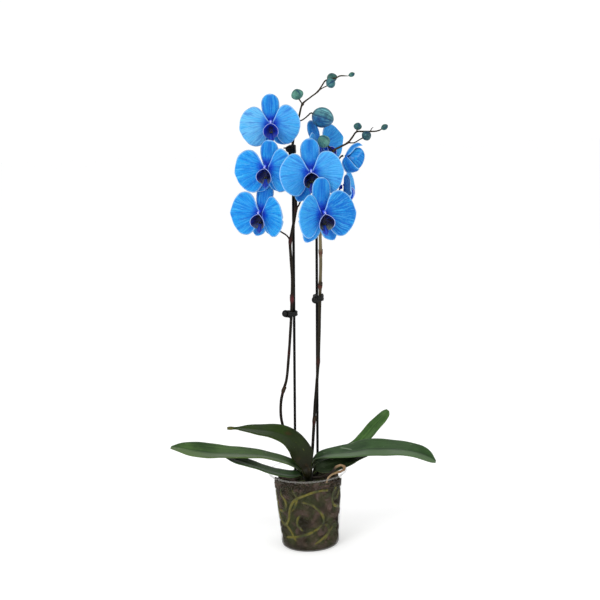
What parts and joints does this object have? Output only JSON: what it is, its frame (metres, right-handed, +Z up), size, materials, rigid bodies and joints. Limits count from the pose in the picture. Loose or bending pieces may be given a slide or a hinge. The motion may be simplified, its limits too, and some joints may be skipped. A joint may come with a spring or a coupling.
{
  "type": "moth orchid in pot",
  "caption": "Moth orchid with flat-faced blue flowers and buds on staked, clipped stems, strap leaves, rooted in bark in a clear round nursery pot.",
  "frame": {"origin": "centre of the pot's flat base, on the surface it stands on", "axes": "+Z up through the pot, -Y towards the front that the flowers face, +X to the viewer's right"},
  "size_m": [0.4057, 0.187, 0.7143],
  "materials": {
    "pot_plastic": "clear, slightly hazy",
    "bark": "rough, dry",
    "root_green": "satin",
    "root_dry": "matte",
    "crown": "matte",
    "leaf": "satin",
    "stem": "satin",
    "stake": "matte",
    "clip": "satin",
    "petal": "matte",
    "sepal": "matte",
    "lip": "matte",
    "column": "matte",
    "bud": "satin"
  },
  "bodies": {
    "root": {"bud_j": "bud", "bud_k1": "bud", "bud_k2": "bud", "bud_k3": "bud", "bud_k5": "bud", "bud_l1": "bud", "bud_l2": "bud", "bud_l3": "bud", "bud_l4": "bud", "clip_1": "clip", "clip_2": "clip", "clip_3": "clip", "crown": "crown", "flower_a_column": "column", "flower_a_lip": "lip", "flower_a_petals": "petal", "flower_a_sepals": "sepal", "flower_b_column": "column", "flower_b_lip": "lip", "flower_b_petals": "petal", "flower_b_sepals": "sepal", "flower_c_column": "column", "flower_c_lip": "lip", "flower_c_petals": "petal", "flower_c_sepals": "sepal", "flower_d_column": "column", "flower_d_lip": "lip", "flower_d_petals": "petal", "flower_d_sepals": "sepal", "flower_e_column": "column", "flower_e_lip": "lip", "flower_e_petals": "petal", "flower_e_sepals": "sepal", "flower_f_column": "column", "flower_f_lip": "lip", "flower_f_petals": "petal", "flower_f_sepals": "sepal", "flower_g_column": "column", "flower_g_lip": "lip", "flower_g_petals": "petal", "flower_g_sepals": "sepal", "h_petals": "petal", "h_sepals": "sepal", "leaf_l1": "leaf", "leaf_l2": "leaf", "leaf_l3": "leaf", "leaf_r1": "leaf", "leaf_r2": "leaf", "leaf_r3": "leaf", "medium": "bark", "pot": "pot_plastic", "root_a": "root_green", "root_aerial": "root_dry", "root_b": "root_green", "root_c": "root_green", "spike_1": "stem", "spike_2": "stem", "stake_1": "stake", "stake_2": "stake"}
  },
  "joints": []
}
